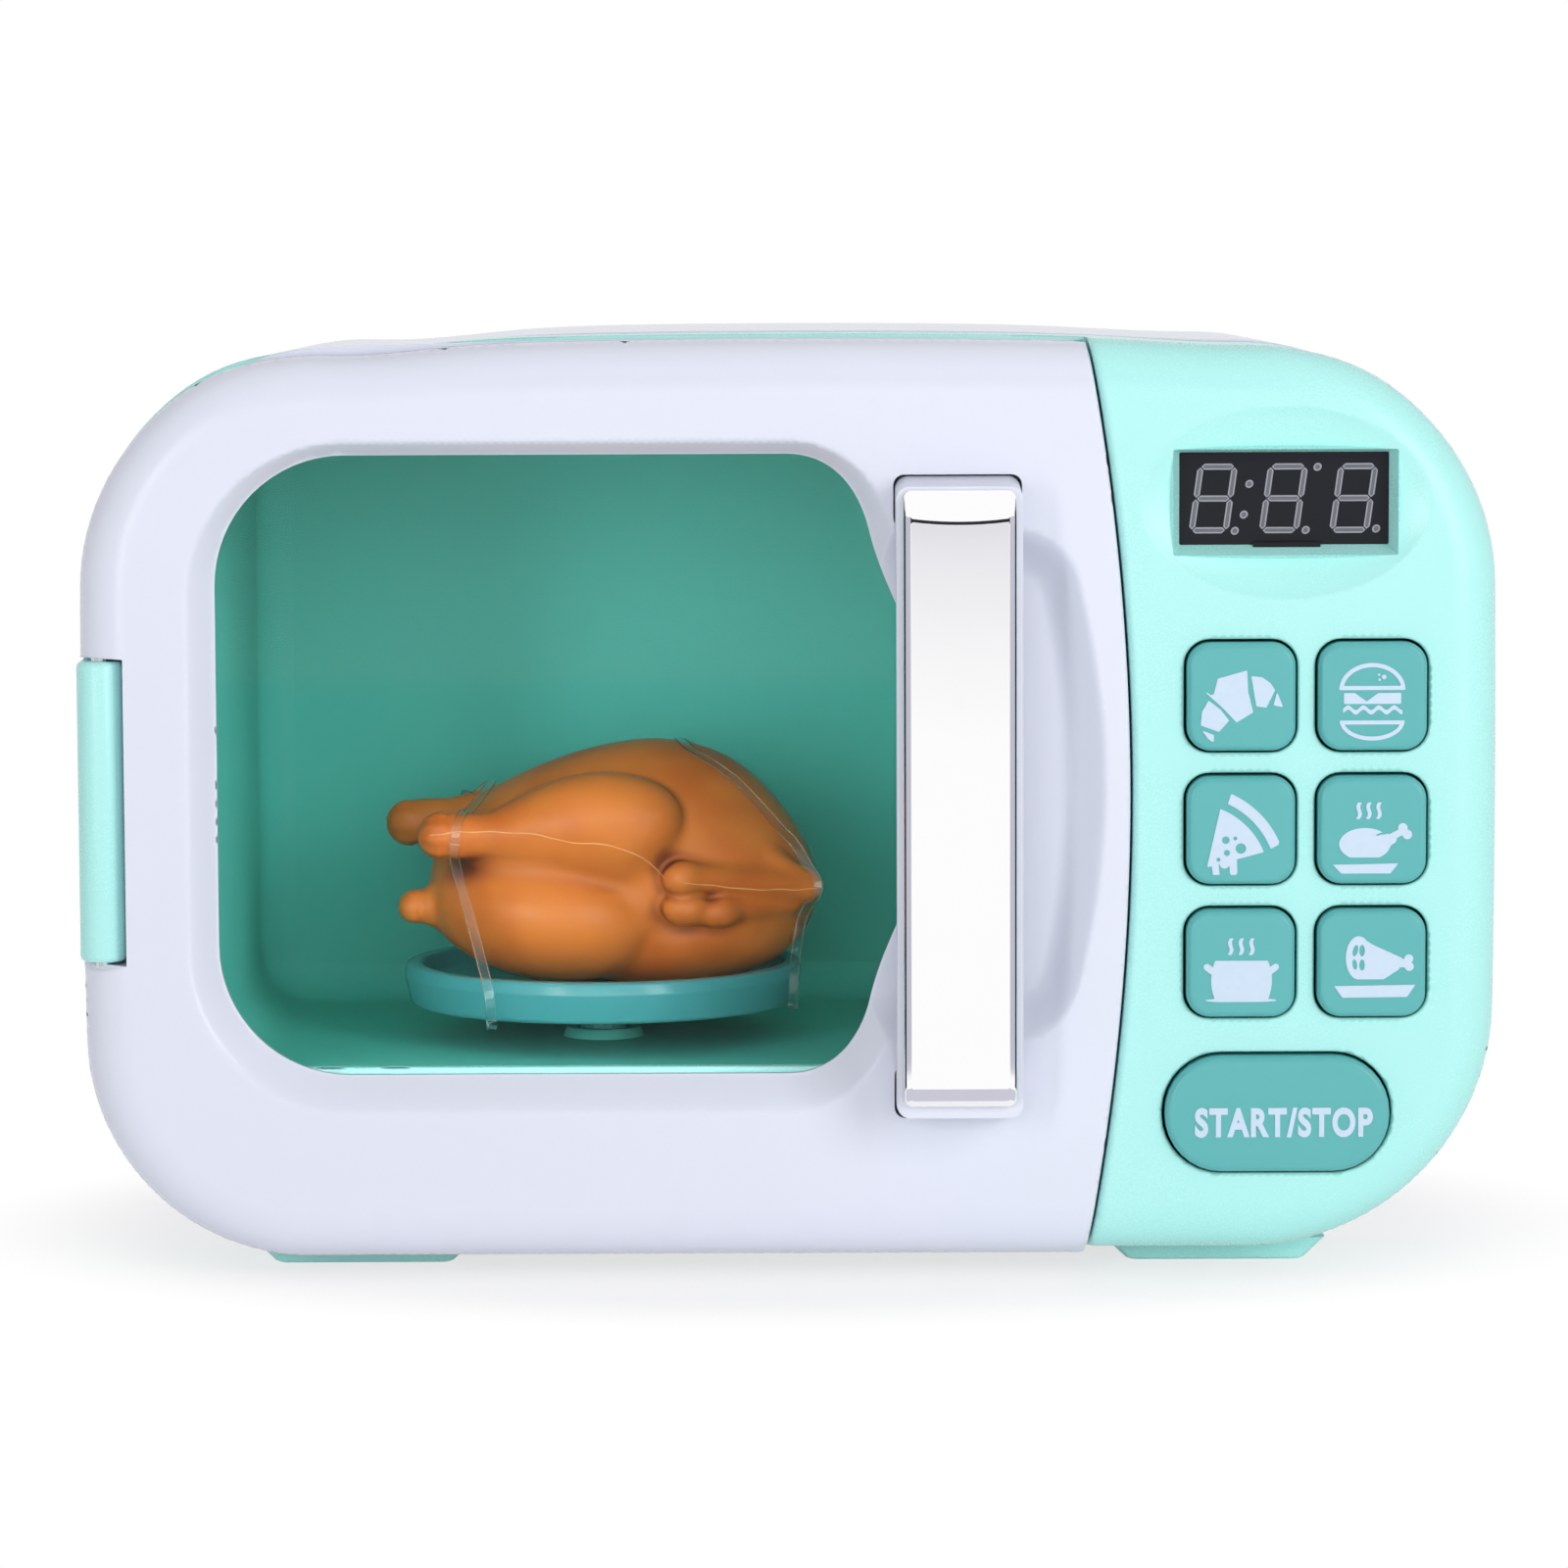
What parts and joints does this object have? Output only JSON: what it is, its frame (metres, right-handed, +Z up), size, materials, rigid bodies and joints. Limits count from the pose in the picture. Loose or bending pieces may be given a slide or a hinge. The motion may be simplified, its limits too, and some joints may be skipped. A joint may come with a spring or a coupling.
{
  "type": "toy microwave oven",
  "caption": "Toy microwave oven with rounded body, hinged window door with a bar handle, a geared turntable under a play roast, and a panel of push buttons below a display.",
  "frame": {"origin": "centre of the underside of the whole toy's box, on the floor under the feet", "axes": "+X to the right seen from the front, -Y out of the door towards the viewer, +Z up"},
  "size_m": [0.2562, 0.166, 0.1714],
  "materials": {
    "mint_plastic": "smooth moulded mint plastic",
    "white_plastic": "smooth moulded cool-white plastic",
    "teal_plastic": "satin teal plastic",
    "liner_plastic": "satin green-teal plastic of the oven's inside",
    "chrome": "bright chrome plating",
    "steel": "plain steel",
    "clear_plastic": "clear plastic sheet",
    "black_plastic": "black plastic",
    "board_green": "circuit board",
    "natural_plastic": "uncoloured plastic",
    "battery_jacket": "dark battery jacket",
    "roast_vinyl": "golden-brown play roast"
  },
  "bodies": {
    "housing": {"front_housing": "mint_plastic", "rear_cover": "white_plastic", "battery_door": "white_plastic", "cavity_liner": "liner_plastic", "drive_motor": "steel", "case_screw_1": "steel", "case_screw_2": "steel", "case_screw_3": "steel", "case_screw_4": "steel", "battery_door_screw": "steel", "spring_contact_1": "steel", "spring_contact_2": "steel", "spring_contact_3": "steel", "button_contact_1": "steel", "button_contact_2": "steel", "button_contact_3": "steel", "display_module": "black_plastic", "speaker": "black_plastic", "croissant_switch": "black_plastic", "burger_switch": "black_plastic", "pizza_switch": "black_plastic", "roast_switch": "black_plastic", "stew_switch": "black_plastic", "ham_switch": "black_plastic", "start_stop_switch": "black_plastic", "circuit_board": "board_green", "display_board": "board_green", "drive_bracket": "natural_plastic", "battery_box": "natural_plastic", "battery_1": "battery_jacket", "battery_2": "battery_jacket", "battery_3": "battery_jacket"},
    "door": {"door_frame": "white_plastic", "door_back_frame": "white_plastic", "door_window": "clear_plastic", "handle_base": "white_plastic", "handle_bar": "chrome", "hinge_pin": "steel", "door_latch": "white_plastic"},
    "turntable": {"turntable_plate": "teal_plastic", "drive_spindle": "natural_plastic", "turntable_gear": "natural_plastic", "roast_chicken": "roast_vinyl", "packing_tie_left": "clear_plastic", "packing_tie_right": "clear_plastic"},
    "pinion": {"motor_pinion": "natural_plastic"},
    "croissant_key": {"croissant_button": "teal_plastic"},
    "burger_key": {"burger_button": "teal_plastic"},
    "pizza_key": {"pizza_button": "teal_plastic"},
    "roast_key": {"roast_button": "teal_plastic"},
    "stew_key": {"stew_button": "teal_plastic"},
    "ham_key": {"ham_button": "teal_plastic"},
    "start_stop_key": {"start_stop_button": "teal_plastic"}
  },
  "joints": [
    {"name": "door_hinge", "type": "hinge", "parent": "housing", "child": "door", "pos_m": [-0.12335, -0.062, 0.0854], "axis": [0, 0, -1], "range_deg": [0, 110]},
    {"name": "turntable_spin", "type": "hinge", "parent": "housing", "child": "turntable", "pos_m": [-0.03535, 0.009, 0.0409], "axis": [0, 0, 1], "continuous": true},
    {"name": "pinion_spin", "type": "hinge", "parent": "housing", "child": "pinion", "pos_m": [-0.00835, 0.009, 0.0296], "axis": [0, 0, 1], "continuous": true},
    {"name": "croissant_press", "type": "slide", "parent": "housing", "child": "croissant_key", "axis": [0, 1, 0], "range_m": [0, 0.0015], "stiffness_N_per_m": 400},
    {"name": "burger_press", "type": "slide", "parent": "housing", "child": "burger_key", "axis": [0, 1, 0], "range_m": [0, 0.0015], "stiffness_N_per_m": 400},
    {"name": "pizza_press", "type": "slide", "parent": "housing", "child": "pizza_key", "axis": [0, 1, 0], "range_m": [0, 0.0015], "stiffness_N_per_m": 400},
    {"name": "roast_press", "type": "slide", "parent": "housing", "child": "roast_key", "axis": [0, 1, 0], "range_m": [0, 0.0015], "stiffness_N_per_m": 400},
    {"name": "stew_press", "type": "slide", "parent": "housing", "child": "stew_key", "axis": [0, 1, 0], "range_m": [0, 0.0015], "stiffness_N_per_m": 400},
    {"name": "ham_press", "type": "slide", "parent": "housing", "child": "ham_key", "axis": [0, 1, 0], "range_m": [0, 0.0015], "stiffness_N_per_m": 400},
    {"name": "start_stop_press", "type": "slide", "parent": "housing", "child": "start_stop_key", "axis": [0, 1, 0], "range_m": [0, 0.0015], "stiffness_N_per_m": 400}
  ],
  "couplings": [
    {"joint": "pinion_spin", "follows": "turntable_spin", "ratio": -3.5}
  ]
}
